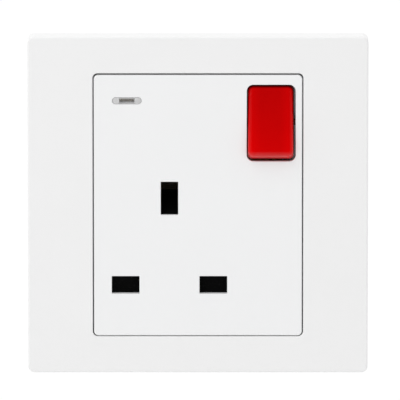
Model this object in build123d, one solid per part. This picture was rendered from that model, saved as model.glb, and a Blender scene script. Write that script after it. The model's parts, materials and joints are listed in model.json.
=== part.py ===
from build123d import *
import os
from math import cos, radians, sin, sqrt, tan

os.makedirs("parts", exist_ok=True)

# A flush wall socket for one plug with three flat pins, with a rocker switch and a neon indicator.
# X points right seen from the room, Y into the wall, Z up. Millimetres.
# The origin lies on the wall plane, halfway between the two fixing slots.

# Snap-on front frame
frame_size = 86.0
frame_depth = 6.5
frame_corner = 1.6
frame_edge_round = 0.5
frame_side = 1.8
frame_rib = 1.0
side_rib_z = 11.8
top_rib_x = 13.3
collar_wall = 1.6
collar_gap = 0.3
window_corner = 1.25
window_side = 1.1
window_end = 2.65

# Pressed steel yoke that the wall screws hold
yoke_size = 74.0
yoke_steel = 1.2
yoke_corner = 4.0
yoke_lap = 1.6
fixing_pitch = 60.3
fixing_slot_width = 3.9
fixing_slot_length = 5.9
lug_height = 3.0
lug_width = 8.0
lug_z = 20.0
catch_width = 5.4
catch_bottom = 0.8
catch_top = 2.4
hook_gap = 0.15
hook_thickness = 1.2
hook_play = 0.1
barb_bite = 0.7
barb_rise = 0.35

# Socket cover, the white moulding with the pin slots
module_gap = 0.3
cover_drop = 0.1
cover_wall = 2.0
cover_skirt = 1.6
cover_edge_round = 0.3
rim_gap = 0.2
rim_wall = 1.0
rim_reach = 1.5
slot_edge_round = 0.15
live_slot_width = 7.0
live_slot_height = 4.5
earth_slot_width = 4.4
earth_slot_height = 8.45
earth_land = 1.0

# Plug pins and where they enter
pin_pitch = 22.2
pin_side = 18.3
pin_row_z = -20.45
earth_z = 1.75
live_pin_width = 6.35
earth_pin_height = 8.0

# Rocker of the switch
rocker_opening_side = 7.0
rocker_top_room = 8.4
rocker_opening_width = 12.3
rocker_opening_height = 19.5
rocker_opening_corner = 1.6
rocker_side_play = 0.15
rocker_width = 11.4
rocker_pivot_depth = 2.7
rocker_end_radius = 9.4
rocker_face = 4.0
rocker_dish = 0.35
rocker_skirt = 0.8
rocker_flange = 0.25
rocker_flange_front = 0.6
rocker_flange_corner = 1.5
rocker_edge_round = 1.4
rocker_shell = 1.5
rocker_web = 1.0
rocker_throw = 8.0
trunnion_radius = 0.8
trunnion_reach = 1.2
bearing_clearance = 0.05
bearing_mouth = 1.3
bearing_rib = 1.2
bearing_rib_height = 2.6
stem_radius = 2.2
stem_bore_radius = 1.3
stem_to_fulcrum = 3.4

# Sprung plunger in the stem
plunger_radius = 1.2
plunger_inset = 2.6
spring_clearance = 0.15
rocker_spring_wire = 0.3
rocker_spring_turns = 6
ridge_gap = 0.05

# Seesaw contact that the plunger tips over
fulcrum_front = 2.5
contact_steel = 0.8
contact_width = 5.0
contact_end_gap = 0.5
contact_corner = 1.0
contact_wing = 10.0
contact_throw = 11.0
contact_pivot_radius = 0.6
contact_pivot_clearance = 0.05
contact_side_gap = 0.25
rivet_inset = 1.5
rivet_radius = 1.4
rivet_height = 0.9
rivet_dome = 3.0
touch_gap = 0.03
fixed_rivet_radius = 1.6
fixed_rivet_round = 0.22

# Brass strip of the pin contacts and the fulcrum bracket
strip = 0.8
leaf_start = 3.2
leaf_pinch = 1.85
leaf_back = 2.35
leaf_mouth = 2.9
pinch_depth = 6.2
leaf_straight_from = 9.2
leaf_lead_in = 0.6
live_leaf_spare = 0.4
live_run_depth = 3.1
live_floor_gap = 5.3
live_leaf_side_gap = 0.3
earth_floor_gap = 0.7
earth_channel_depth = 4.6
earth_leaf_below = 3.7
earth_bridge_gap = 0.45
switch_pad_width = 6.0
switch_pad_lap = 1.6
switch_strip_height = 4.0
switch_strip_below_block = 1.1
bracket_half_height = 3.2
ear_round = 1.6

# Terminal blocks and their screws
block_width = 7.0
block_depth = 8.0
block_height = 10.0
block_top_room = 5.9
block_edge = 0.5
wire_radius = 2.0
wire_land = 2.6
neutral_block_side = 6.0
earth_block_side = 19.1
live_block_side = 30.6
terminal_thread_radius = 1.7
terminal_head_radius = 2.6
terminal_head_height = 1.4
thread_clearance = 0.05
terminal_tip_gap = 0.4
terminal_tip_edge = 0.42
screw_slot_width = 0.9
screw_slot_depth = 0.7

# Rear housing
housing_width = 51.0
housing_height = 62.0
housing_depth = 18.5
housing_wall = 1.6
housing_corner = 3.0
housing_back_round = 1.0
housing_flange = 2.0
housing_step = 0.5
housing_draft = 1.0
partition = 1.2
pocket_rib = 0.6
pocket_depth = 2.7
access_gap = 0.2
entry_width = 6.0
entry_depth = 5.4
entry_corner = 1.2

# Screws that clamp cover, yoke and housing
cover_boss_radius = 2.0
housing_boss_radius = 2.8
screw_radius = 1.25
screw_head_radius = 2.0
screw_head_height = 1.6
screw_seat = 3.0
screw_reach = 3.2
screw_cross = 0.7
screw_cross_length = 2.6
screw_tip_edge = 0.6
screw_hole_gap = 0.1
pilot_spare = 0.4
right_screw_side = 6.0
left_screw_offset = 9.8
low_screw_room = 4.4
left_screw_z = -6.0
top_screw_rise = 2.9
right_screw_drop = 16.8

# Inner carrier, the black plate behind the cover
carrier_front = 2.3
carrier_plate = 1.5
carrier_gap = 0.3
carrier_hole_gap = 0.2
guide_wall = 1.0
guide_clearance = 0.3
switch_bay_offset = 7.7
switch_bay_drop = 13.0

# Shutter that the earth pin pushes down
shutter_travel = 5.0
shutter_thickness = 1.6
shutter_front_gap = 0.2
shutter_overlap = 0.25
shutter_body_half = 7.0
shutter_body_top = -9.0
ramp_half = 2.1
ramp_tip = 2.6
ramp_depth = 6.7
ramp_rise = 4.9
ramp_arm = 1.5
ramp_nose = 0.5
guide_rib = 1.0
guide_rib_gap = 0.2
guide_rib_length = 9.0
shutter_spring_radius = 1.5
shutter_spring_wire = 0.35
shutter_spring_turns = 7
shutter_spring_top = -16.0
spring_notch_gap = 0.4
spring_front_gap = 0.3

# Neon indicator
lens_offset = 0.65
lens_top_room = 1.5
lens_width = 7.5
lens_height = 1.8
lens_depth = 1.2
lens_clearance = 0.05
lens_sink = 0.05
light_slot_width = 4.0
light_slot_height = 1.4
lens_tongue = 0.4
lamp_side = 4.1
lamp_drop = 1.2
lamp_radius = 1.8
lamp_length = 6.6
lamp_depth = 1.6
lamp_tip = 1.0
lamp_tip_rise = 1.35
lead_radius = 0.3
lead_pitch = 1.2
lead_bend = 1.0
lead_room = 4.2
resistor_radius = 1.1
resistor_waist = 0.93
resistor_cap = 1.6
resistor_edge = 0.36
resistor_length = 6.5
resistor_offset = 2.0
resistor_y = 2.6
resistor_drop = 2.9

# Places that follow from the sizes above, first the depths behind the wall plane
floor_y = housing_depth - housing_wall
block_front = floor_y - block_depth
strap_front = block_front - strip
wire_y = block_front + wire_land
live_run_back = floor_y - live_floor_gap
live_run_front = live_run_back - live_run_depth
live_leaf_end = live_run_back + live_leaf_spare
earth_leaf_end = floor_y - earth_floor_gap
earth_channel_from = earth_leaf_end - earth_channel_depth

# Cover, yoke window and rim, which go with the housing's width and height
window_width = housing_width + 2 * window_side
window_height = housing_height + 2 * window_end
yoke_window_width = housing_width - 2 * yoke_lap
yoke_window_height = housing_height - 2 * yoke_lap
cover_width = window_width - 2 * module_gap
cover_height = window_height - 2 * module_gap
cover_corner = window_corner - module_gap / 2
cover_front = -frame_depth
cover_inner = cover_front + cover_wall
yoke_front = -yoke_steel
rim_width = yoke_window_width - 2 * rim_gap
rim_height = yoke_window_height - 2 * rim_gap
rim_inside_x = rim_width / 2 - rim_wall
rim_inside_z = rim_height / 2 - rim_wall
wall_inside_x = housing_width / 2 - housing_wall
wall_inside_z = housing_height / 2 - housing_wall

# Pins, rocker, terminal blocks and screws in the housing
pin_x = pin_side - housing_width / 2
live_x = pin_x + pin_pitch / 2
neutral_x = pin_x - pin_pitch / 2
rocker_opening_x = housing_width / 2 - rocker_opening_side
rocker_x = rocker_opening_x - rocker_side_play
rocker_z = wall_inside_z - rocker_top_room
switch_bay_x = rocker_opening_x - switch_bay_offset
switch_bay_z = rocker_z - switch_bay_drop
neutral_block_x = neutral_block_side - housing_width / 2
earth_block_x = earth_block_side - housing_width / 2
live_block_x = live_block_side - housing_width / 2
block_places = {"neutral": neutral_block_x, "earth": earth_block_x, "live": live_block_x}
block_top = wall_inside_z - block_top_room
block_bottom = block_top - block_height
block_z = block_top - block_height / 2
screw_places = [
    (housing_width / 2 - right_screw_side, low_screw_room - wall_inside_z),
    (pin_x - left_screw_offset, left_screw_z),
    ((earth_block_x + live_block_x) / 2, block_top + top_screw_rise),
    (housing_width / 2 - right_screw_side, rocker_z - right_screw_drop),
]

# Switch, from the rocker's pivot back to the seesaw's fulcrum
pivot_y = cover_front + rocker_pivot_depth
fulcrum_y = strap_front - fulcrum_front
fulcrum_reach = fulcrum_y - pivot_y
stem_reach = fulcrum_reach - stem_to_fulcrum
plunger_back = stem_reach - plunger_inset
half_contact = contact_steel / 2
plunger_ball = fulcrum_reach - half_contact - plunger_radius - ridge_gap
contact_half_length = rocker_top_room - contact_end_gap
rivet_offset = contact_half_length - rivet_inset
switch_pad_top = rivet_offset + switch_pad_lap

# Carrier, shutter and indicator
carrier_back = -carrier_front + carrier_plate
shutter_front = cover_inner + shutter_front_gap
shutter_back = shutter_front + shutter_thickness
blade_top = pin_row_z + live_slot_height / 2 + shutter_overlap
blade_bottom = blade_top - shutter_travel
spring_seat = -rim_inside_z
lamp_x = lamp_side - rim_inside_x
lens_x = lamp_x + lens_offset
lens_z = rim_inside_z - lens_top_room
lamp_z = lens_z - lamp_drop
resistor_x = pin_x + resistor_offset
resistor_z = block_bottom - resistor_drop


def slab(sketch, front, back):
    """A sketch drawn as seen from the room (X, Z), made solid from depth front to depth back."""
    return extrude(Plane.XZ.offset(-back) * sketch, back - front)


def bar(sketch, left, right):
    """A side profile (Y, Z), made solid from left to right."""
    return extrude(Plane.YZ.offset(left) * sketch, right - left)


def column(sketch, bottom, top):
    """A plan profile (X, Y), made solid from bottom to top."""
    return extrude(Plane.XY.offset(bottom) * sketch, top - bottom)


def panel(left, right, front, back, bottom, top):
    """A flat strip or wall between six limits."""
    outline = Pos((left + right) / 2, (bottom + top) / 2) * Rectangle(right - left, top - bottom)
    return slab(outline, front, back)


def post(x, z, radius, front, back):
    return slab(Pos(x, z) * Circle(radius), front, back)


def outline(points):
    return make_face(Polyline(*points, close=True))


def edges_at(shape, depth):
    return shape.edges().filter_by_position(Axis.Y, depth - 0.001, depth + 0.001)


def both_sides(shape):
    return [shape, mirror(shape, about=Plane.YZ)]


def four_ways(shape):
    return [copy for half in both_sides(shape) for copy in (half, mirror(half, about=Plane.XY))]


def hook():
    """Frame hook outside a yoke lug, with a barb that clicks under the lug's window."""
    inner = yoke_size / 2 + hook_gap
    barb_front = yoke_front - catch_top + hook_play
    barb_back = yoke_front - catch_bottom
    barb = inner - hook_gap - barb_bite * yoke_steel
    profile = outline(
        [
            (inner + hook_thickness, cover_inner),
            (inner + hook_thickness, yoke_front),
            (inner, yoke_front),
            (inner, barb_back),
            (barb, barb_front + barb_rise),
            (barb, barb_front),
            (inner, barb_front),
            (inner, cover_inner),
        ]
    )
    half = catch_width / 2 - hook_play
    return column(profile, lug_z - half, lug_z + half)


def front_frame():
    outer = slab(RectangleRounded(frame_size, frame_size, frame_corner), -frame_depth, 0)
    outer = fillet(edges_at(outer, -frame_depth), frame_edge_round)
    inside = frame_size - 2 * frame_side
    cavity = slab(RectangleRounded(inside, inside, frame_corner / 2), cover_inner, 0)
    collar_width = window_width + 2 * collar_wall
    collar_height = window_height + 2 * collar_wall
    collar_outline = RectangleRounded(collar_width, collar_height, window_corner + collar_wall)
    collar = slab(collar_outline, cover_inner, yoke_front - collar_gap)
    window_outline = RectangleRounded(window_width, window_height, window_corner)
    window = slab(window_outline, -frame_depth, 0)
    rib_back = yoke_front - collar_gap
    rib = frame_rib / 2
    side_rib = panel(collar_width / 2, inside / 2, cover_inner, rib_back, side_rib_z - rib, side_rib_z + rib)
    top_rib = panel(top_rib_x - rib, top_rib_x + rib, cover_inner, rib_back, collar_height / 2, inside / 2)
    frame = outer - cavity + collar + four_ways(side_rib) + four_ways(top_rib) - window
    face = frame_size / 2 - frame_side
    mouth = edges_at(frame, -frame_depth).filter_by(lambda e: max(abs(e.center().X), abs(e.center().Z)) < face)
    frame = fillet(mouth, cover_edge_round)
    return frame + four_ways(hook())


def lug():
    """Tab bent forward at the yoke's edge, with the window that a frame hook clicks into."""
    edge = yoke_size / 2
    bend = yoke_steel / 2
    profile = outline(
        [
            (edge - 2 * yoke_steel, 0),
            (edge, 0),
            (edge, yoke_front - lug_height),
            (edge - yoke_steel, yoke_front - lug_height),
            (edge - yoke_steel, yoke_front),
            (edge - 2 * yoke_steel, yoke_front),
        ]
    )
    corner = profile.vertices().sort_by_distance((edge - yoke_steel, yoke_front, 0))[0]
    profile = fillet(corner, bend)
    tab = column(profile, lug_z - lug_width / 2, lug_z + lug_width / 2)
    catch = panel(
        edge - 1.5 * yoke_steel,
        edge + yoke_steel,
        yoke_front - catch_top,
        yoke_front - catch_bottom,
        lug_z - catch_width / 2,
        lug_z + catch_width / 2,
    )
    return tab, catch


def mounting_yoke():
    sheet = RectangleRounded(yoke_size, yoke_size, yoke_corner)
    sheet -= RectangleRounded(yoke_window_width, yoke_window_height, housing_wall)
    for x in (-fixing_pitch / 2, fixing_pitch / 2):
        sheet -= Pos(x, 0) * SlotOverall(fixing_slot_length, fixing_slot_width)
    tab, catch = lug()
    return slab(sheet, yoke_front, 0) + four_ways(tab) - four_ways(catch)


def bearing_slot(left, right):
    """Snap-in bearing: a round seat at the pivot with a narrower mouth towards the wall."""
    seat = Pos(pivot_y, rocker_z) * Circle(trunnion_radius + bearing_clearance)
    mouth_length = bearing_rib_height + rocker_pivot_depth
    mouth = Pos(pivot_y + mouth_length / 2, rocker_z) * Rectangle(mouth_length, bearing_mouth)
    return bar(seat + mouth, left, right)


def rocker_bearings():
    """Rib left of the rocker and the length of side wall right of it that hold its trunnions."""
    left_face = rocker_x - rocker_width / 2
    rib_right = left_face - rocker_flange - bearing_clearance
    rib = panel(
        rib_right - bearing_rib,
        rib_right,
        cover_inner,
        cover_inner + bearing_rib_height,
        rocker_z - bearing_rib_height,
        rocker_z + bearing_rib_height,
    )
    right_face = rocker_x + rocker_width / 2
    groove_end = right_face + trunnion_reach + rocker_side_play
    return rib, bearing_slot(rib_right - bearing_rib, rib_right), bearing_slot(right_face, groove_end)


def pin_slots(gap=0.0):
    """The three pin openings as one drawing, enlarged all round by gap."""
    corner = slot_edge_round + gap
    low = RectangleRounded(live_slot_width + 2 * gap, live_slot_height + 2 * gap, corner)
    high = RectangleRounded(earth_slot_width + 2 * gap, earth_slot_height + 2 * gap, corner)
    return [Pos(neutral_x, pin_row_z) * low, Pos(live_x, pin_row_z) * low, Pos(pin_x, earth_z) * high]


def shutter_guides():
    """Two ribs behind the cover that keep the shutter upright."""
    inner = shutter_body_half + guide_rib_gap
    top = shutter_body_top + guide_rib
    right = panel(
        pin_x + inner, pin_x + inner + guide_rib, cover_inner, -carrier_front, top - guide_rib_length, top
    )
    return [right, mirror(right, about=Plane.YZ.offset(pin_x))]


def socket_cover():
    lowered = Pos(0, -cover_drop)
    body = slab(lowered * RectangleRounded(cover_width, cover_height, cover_corner), cover_front, yoke_front)
    body = fillet(edges_at(body, cover_front), cover_edge_round)
    inside_width = cover_width - 2 * cover_skirt
    inside_height = cover_height - 2 * cover_skirt
    inside = lowered * RectangleRounded(inside_width, inside_height, cover_corner / 2)
    body -= slab(inside, cover_inner, yoke_front)
    ring = RectangleRounded(rim_width, rim_height, housing_wall)
    ring -= RectangleRounded(rim_width - 2 * rim_wall, rim_height - 2 * rim_wall, housing_wall / 2)
    rim = slab(ring, cover_inner, rim_reach)
    rim -= panel(switch_bay_x, cover_width, cover_inner, rim_reach, switch_bay_z, cover_height)
    for x, z in screw_places:
        rim -= post(x, z, housing_boss_radius + rim_gap, 0, rim_reach)
    body += rim
    body += shutter_guides()
    for x, z in screw_places:
        body += post(x, z, cover_boss_radius, cover_inner, 0)
    rib, left_seat, right_seat = rocker_bearings()
    body = body + rib - left_seat - right_seat
    opening = RectangleRounded(rocker_opening_width, rocker_opening_height, rocker_opening_corner)
    body -= slab(Pos(rocker_opening_x, rocker_z) * opening, cover_front, cover_inner)
    for hole in pin_slots():
        body -= slab(hole, cover_front, cover_inner)
    body -= earth_pocket()
    body = fillet(slot_mouths(body), slot_edge_round)
    pill = Pos(lens_x, lens_z) * SlotOverall(lens_width, lens_height)
    light = RectangleRounded(light_slot_width, light_slot_height, light_slot_height / 4)
    body -= slab(pill, cover_front, cover_front + lens_depth)
    body -= slab(Pos(lens_x, lens_z) * light, cover_front, cover_inner)
    for x, z in screw_places:
        body -= post(x, z, screw_radius + thread_clearance, -screw_reach - pilot_spare, 0)
    return body


def slot_mouths(body):
    """Front edges of the pin slots and the rocker opening."""
    inside = cover_width / 2 - cover_skirt / 2
    return edges_at(body, cover_front).filter_by(
        lambda e: abs(e.center().X) < inside and abs(e.center().Z) < cover_height / 2 - cover_skirt / 2
    )


def earth_pocket():
    """Pocket behind the earth slot where the carrier's black guide comes forward."""
    width = earth_slot_width + 2 * guide_wall + 2 * carrier_hole_gap
    height = earth_slot_height + 2 * guide_wall + 2 * carrier_hole_gap
    pocket = Pos(pin_x, earth_z) * RectangleRounded(width, height, guide_wall / 2)
    return slab(pocket, cover_front + earth_land, cover_inner)


def indicator_lens():
    pill = SlotOverall(lens_width - 2 * lens_clearance, lens_height - 2 * lens_clearance)
    tongue_width = light_slot_width - 2 * lens_clearance
    tongue_height = light_slot_height - 2 * lens_clearance
    tongue = RectangleRounded(tongue_width, tongue_height, light_slot_height / 4)
    front = cover_front + lens_sink
    head = slab(Pos(lens_x, lens_z) * pill, front, cover_front + lens_depth)
    head = fillet(edges_at(head, front), slot_edge_round)
    back = cover_inner + lens_tongue
    return head + slab(Pos(lens_x, lens_z) * tongue, cover_front + lens_depth, back)


def neon_lamp():
    """Small glass tube with a rounded tip on the left and its two wires leaving on the right."""
    left = lamp_x - lamp_length / 2
    right = lamp_x + lamp_length / 2
    tip = Line((left + lamp_tip, -lamp_radius), (right, -lamp_radius))
    profile = make_face(
        [
            ThreePointArc((left, 0), (left + lamp_tip * 0.3, -lamp_tip_rise), tip @ 0),
            tip,
            Line(tip @ 1, (right, 0)),
            Line((right, 0), (left, 0)),
        ]
    )
    return Pos(0, -lamp_depth, lamp_z) * revolve(profile, Axis.X)


def neon_resistor():
    """Carbon film resistor: a rod with a rounded cap at each end."""
    body = Rot(Y=90) * Cylinder(resistor_waist, resistor_length)
    for side in (-1, 1):
        end = Rot(Y=90) * Cylinder(resistor_radius, resistor_cap)
        end = fillet(end.edges().filter_by(GeomType.CIRCLE), resistor_edge)
        body += Pos(side * (resistor_length - resistor_cap) / 2, 0, 0) * end
    return Pos(resistor_x, resistor_y, resistor_z) * body


def wire(points, radii):
    path = FilletPolyline(*points, radius=radii)
    start = Plane(origin=path @ 0, z_dir=path % 0)
    return sweep(start * Circle(lead_radius), path=path)


def neon_leads():
    """Three bare wires: lamp to neutral strap, lamp to resistor, resistor to switched live strip."""
    lamp_end = lamp_x + lamp_length / 2
    bend = lead_bend
    near = -lamp_depth + lead_pitch / 2
    far = -lamp_depth - lead_pitch / 2
    turn_x = lamp_end + 2 * bend
    strap_x = neutral_block_x + block_width / 4
    to_neutral = wire(
        [
            (lamp_end, near, lamp_z),
            (turn_x, near, lamp_z),
            (turn_x, strap_front - 4 * bend, block_z + 2 * bend),
            (strap_x, strap_front - 3 * bend, block_z),
            (strap_x, strap_front, block_z),
        ],
        [bend, bend, bend],
    )
    drop_x = turn_x + 1.5 * bend
    resistor_left = resistor_x - resistor_length / 2
    to_resistor = wire(
        [
            (lamp_end, far, lamp_z),
            (drop_x, far, lamp_z),
            (drop_x, resistor_y, lamp_z - 2 * bend),
            (drop_x, resistor_y, resistor_z),
            (resistor_left, resistor_y, resistor_z),
        ],
        [bend, bend, bend],
    )
    resistor_right = resistor_x + resistor_length / 2
    plate = live_run_left()
    meet_y = (live_run_front + live_run_back) / 2
    to_live = wire(
        [
            (resistor_right, resistor_y, resistor_z),
            (resistor_right + 4 * bend, resistor_y, resistor_z),
            (plate - 2 * bend, meet_y, resistor_z),
            (plate, meet_y, resistor_z),
        ],
        [bend, bend],
    )
    return [to_neutral, to_resistor, to_live]


def rocker_place(angle):
    return Pos(rocker_x, pivot_y, rocker_z) * Rot(X=angle)


def rocker_profile(radius, face, back, dish):
    """Side view of the rocker about its pivot: dished face, ends that are arcs about the pivot."""
    top = sqrt(radius**2 - face**2)
    low = sqrt(radius**2 - back**2)
    mid_y = (back - face) / 2
    mid_z = sqrt(radius**2 - mid_y**2)
    return make_face(
        [
            ThreePointArc((-face, top), (dish - face, 0), (-face, -top)),
            ThreePointArc((-face, -top), (mid_y, -mid_z), (back, -low)),
            Line((back, -low), (back, low)),
            ThreePointArc((back, low), (mid_y, mid_z), (-face, top)),
        ]
    )


def rocker_flange_ring():
    """Flange round the rocker's skirt, a slice of the cylinder about its pivot with rounded corners."""
    reach = rocker_width / 2 + rocker_flange
    corners = RectangleRounded(2 * reach, 2 * rocker_end_radius, rocker_flange_corner)
    return bar(Circle(rocker_end_radius), -reach, reach) & slab(corners, -rocker_flange_front, rocker_skirt)


def rocker():
    half = rocker_width / 2
    body = bar(rocker_profile(rocker_end_radius, rocker_face, rocker_skirt, rocker_dish), -half, half)
    rounded = body.edges().filter_by(lambda e: e.bounding_box().min.Y < rocker_skirt - rocker_edge_round)
    body = fillet(rounded, rocker_edge_round) + rocker_flange_ring()
    hollow_radius = rocker_end_radius - rocker_shell
    hollow_face = rocker_face - rocker_shell - rocker_dish
    hollow = bar(
        rocker_profile(hollow_radius, hollow_face, rocker_skirt, rocker_dish / 2),
        -half + rocker_shell,
        half - rocker_shell,
    )
    body -= hollow
    web_front = -hollow_face - rocker_dish
    inner = half - rocker_shell / 2
    body += panel(-rocker_web / 2, rocker_web / 2, web_front, rocker_skirt, -hollow_radius, hollow_radius)
    body += panel(-inner, inner, web_front, rocker_skirt, -rocker_web, rocker_web)
    body += post(0, 0, stem_radius, web_front, stem_reach)
    body -= post(0, 0, stem_bore_radius, -hollow_face, stem_reach)
    reach = half + trunnion_reach
    for side in (-1, 1):
        stub = Rot(Y=90) * Cylinder(trunnion_radius, trunnion_reach + rocker_shell)
        body += Pos(side * (reach - (trunnion_reach + rocker_shell) / 2), 0, 0) * stub
    return rocker_place(-rocker_throw) * body


def coil(radius, wire_radius_, length, turns):
    """Compression spring along Z from z = 0 to z = length, with the wire inside both ends."""
    lift = length - 2 * wire_radius_
    path = Helix(pitch=lift / turns, height=lift, radius=radius - wire_radius_)
    start = Plane(origin=path @ 0, z_dir=path % 0)
    turned = sweep(start * RegularPolygon(wire_radius_, 6), path=path, is_frenet=True)
    return Pos(0, 0, wire_radius_) * turned


def rocker_spring():
    seat = -(rocker_face - rocker_shell - rocker_dish)
    radius = stem_bore_radius - spring_clearance
    length = plunger_back - seat
    spring = coil(radius, rocker_spring_wire / 2, length, rocker_spring_turns)
    return rocker_place(-rocker_throw) * Pos(0, seat, 0) * Rot(X=-90) * spring


def plunger():
    pin = post(0, 0, plunger_radius, plunger_back, plunger_ball)
    pin = fillet(edges_at(pin, plunger_back), plunger_radius / 6)
    return rocker_place(-rocker_throw) * (pin + Pos(0, plunger_ball, 0) * Sphere(plunger_radius))


def contact_place(angle):
    return Pos(rocker_x, fulcrum_y, rocker_z) * Rot(X=angle)


def moving_contact():
    """Seesaw strip, a shallow roof with its ridge towards the plunger and a pivot stub on each side."""
    rise = contact_half_length * tan(radians(contact_wing))
    profile = outline(
        [
            (-half_contact, 0),
            (rise - half_contact, contact_half_length),
            (rise + half_contact, contact_half_length),
            (half_contact, 0),
            (rise + half_contact, -contact_half_length),
            (rise - half_contact, -contact_half_length),
        ]
    )
    half = contact_width / 2
    seesaw = bar(profile, -half, half)
    tips = seesaw.faces().filter_by(lambda f: abs(f.center().Z) > contact_half_length - contact_steel)
    ends = [e for f in tips for e in f.edges() if abs(abs(e.center().X) - half) < 0.01]
    seesaw = fillet(ends, contact_corner)
    stub_length = 2 * contact_pivot_radius + contact_side_gap
    for side in (-1, 1):
        stub = Rot(Y=90) * Cylinder(contact_pivot_radius, stub_length)
        seesaw += Pos(side * (half - half_contact / 2 + stub_length / 2), 0, 0) * stub
    return contact_place(contact_throw) * seesaw


def wing_place(height):
    """Frame on the back of the upper wing at the rivet, before the seesaw is tipped."""
    wing = radians(contact_wing)
    y = rivet_offset * tan(wing) + half_contact / cos(wing) + height * cos(wing)
    z = rivet_offset - height * sin(wing)
    return y, z


def moving_contact_rivet():
    """Domed silver button on the back of the upper wing."""
    y, z = wing_place(0)
    inset = rivet_dome - sqrt(rivet_dome**2 - rivet_radius**2)
    flat = rivet_height - inset
    half_way = rivet_height - rivet_dome + sqrt(rivet_dome**2 - rivet_radius**2 / 4)
    profile = make_face(
        [
            Line((0, 0), (rivet_radius, 0)),
            Line((rivet_radius, 0), (rivet_radius, flat)),
            ThreePointArc((rivet_radius, flat), (rivet_radius / 2, half_way), (0, rivet_height)),
            Line((0, rivet_height), (0, 0)),
        ]
    )
    button = revolve(profile, Axis.Y)
    return contact_place(contact_throw) * Pos(0, y, z) * Rot(X=-contact_wing) * button


def touch_point():
    """Depth and height, measured from the fulcrum, where the tipped rivet's dome reaches deepest."""
    y, z = wing_place(rivet_height - rivet_dome)
    tip = radians(-contact_throw)
    depth = y * cos(tip) - z * sin(tip) + rivet_dome
    height = y * sin(tip) + z * cos(tip)
    return depth, height


def fixed_contact_rivet():
    depth, height = touch_point()
    face = fulcrum_y + depth + touch_gap
    button = post(rocker_x, rocker_z + height, fixed_rivet_radius, face, live_run_back - strip)
    return fillet(edges_at(button, face), fixed_rivet_round)


def fulcrum_bracket():
    """Brass plate from the live block across to the switch, with two ears that carry the seesaw."""
    ear_inside = contact_width / 2 + contact_side_gap
    right = rocker_x + ear_inside + strip
    left = live_block_x - block_width / 2 + block_edge
    low = rocker_z - bracket_half_height
    high = rocker_z + bracket_half_height
    plate = panel(left, right, strap_front, block_front, low, high)
    hole = Pos(fulcrum_y, rocker_z) * Circle(contact_pivot_radius + contact_pivot_clearance)
    arm_length = block_front - fulcrum_y
    arm = Pos(fulcrum_y + arm_length / 2, rocker_z) * Rectangle(arm_length, 2 * ear_round)
    ear = arm + Pos(fulcrum_y, rocker_z) * Circle(ear_round) - hole
    plate += bar(ear, right - strip, right)
    plate += bar(ear, rocker_x - ear_inside - strip, rocker_x - ear_inside)
    return plate


def leaf_outline(end):
    """One sprung leaf seen from its side: depth against distance from the pin's middle."""
    bends = [(leaf_start, leaf_mouth), (pinch_depth, leaf_pinch), (leaf_straight_from, leaf_back)]
    headings = [(1, -leaf_lead_in), (1, 0)]
    inner = Spline(*bends, tangents=headings)
    outer = Spline(*[(depth, side + strip) for depth, side in bends], tangents=headings)
    return make_face(
        [
            inner,
            Line(inner @ 1, (end, leaf_back)),
            Line((end, leaf_back), (end, leaf_back + strip)),
            Line((end, leaf_back + strip), outer @ 1),
            outer,
            Line(outer @ 0, inner @ 0),
        ]
    )


def live_run_left():
    """Left face of the strip that joins the live leaves and runs up beside them."""
    return live_x + live_pin_width / 2 + live_leaf_side_gap


def flat_pin_leaves(x, run_side):
    """Upper and lower leaf round a flat pin, wide enough to reach the strip at one side."""
    near = live_pin_width / 2
    far = near + live_leaf_side_gap + strip
    left, right = (-near, far) if run_side > 0 else (-far, near)
    upper = Pos(x, 0, pin_row_z) * bar(leaf_outline(live_leaf_end), left, right)
    return upper + mirror(upper, about=Plane.XY.offset(pin_row_z))


def live_socket_contact():
    """Live pin leaves, the strip up the housing and the pad under the switch's fixed contact."""
    left = live_run_left()
    leaves = flat_pin_leaves(live_x, 1)
    bottom = pin_row_z - leaf_back - strip
    top = block_bottom - switch_strip_below_block
    run = panel(left, left + strip, live_run_front, live_run_back, bottom, top)
    pad_right = rocker_x + switch_pad_width / 2
    across = panel(left, pad_right, live_run_back - strip, live_run_back, top - switch_strip_height, top)
    up = panel(
        rocker_x - switch_pad_width / 2,
        pad_right,
        live_run_back - strip,
        live_run_back,
        top - switch_strip_height,
        rocker_z + switch_pad_top,
    )
    return leaves + run + across + up


def neutral_socket_contact():
    right = neutral_x - live_pin_width / 2 - live_leaf_side_gap
    leaves = flat_pin_leaves(neutral_x, -1)
    bottom = pin_row_z - leaf_back - strip
    top = block_bottom - switch_strip_below_block
    run = panel(right - strip, right, strap_front, live_run_back, bottom, top)
    strap = panel(
        right - strip,
        neutral_block_x + block_width / 2 - block_edge,
        strap_front,
        block_front,
        top - switch_strip_height,
        block_top - block_edge,
    )
    return leaves + run + strap


def earth_socket_contact():
    """Two leaves beside the earth pin, joined at the back by a channel with a strap to the block."""
    profile = leaf_outline(earth_leaf_end)
    low = earth_z - earth_leaf_below
    high = earth_z + earth_leaf_below
    plan = Plane.XY * Rot(Z=90) * mirror(profile, about=Plane.XZ)
    right_leaf = Pos(pin_x, 0, 0) * column(plan, low, high)
    leaves = right_leaf + mirror(right_leaf, about=Plane.YZ.offset(pin_x))
    half = leaf_back + strip
    bridge_low = earth_z + earth_pin_height / 2 + earth_bridge_gap
    bridge_high = bridge_low + strip
    channel = panel(pin_x - half, pin_x + half, earth_channel_from, earth_leaf_end, low, bridge_high)
    left = pin_x - leaf_back
    right = pin_x + leaf_back
    channel -= panel(left, right, earth_channel_from, earth_leaf_end, low, bridge_low)
    shelf = panel(left, right, strap_front, earth_leaf_end, bridge_low, bridge_high)
    strap = panel(left, right, strap_front, block_front, bridge_low, block_top - block_edge)
    return leaves + channel + shelf + strap


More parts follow.
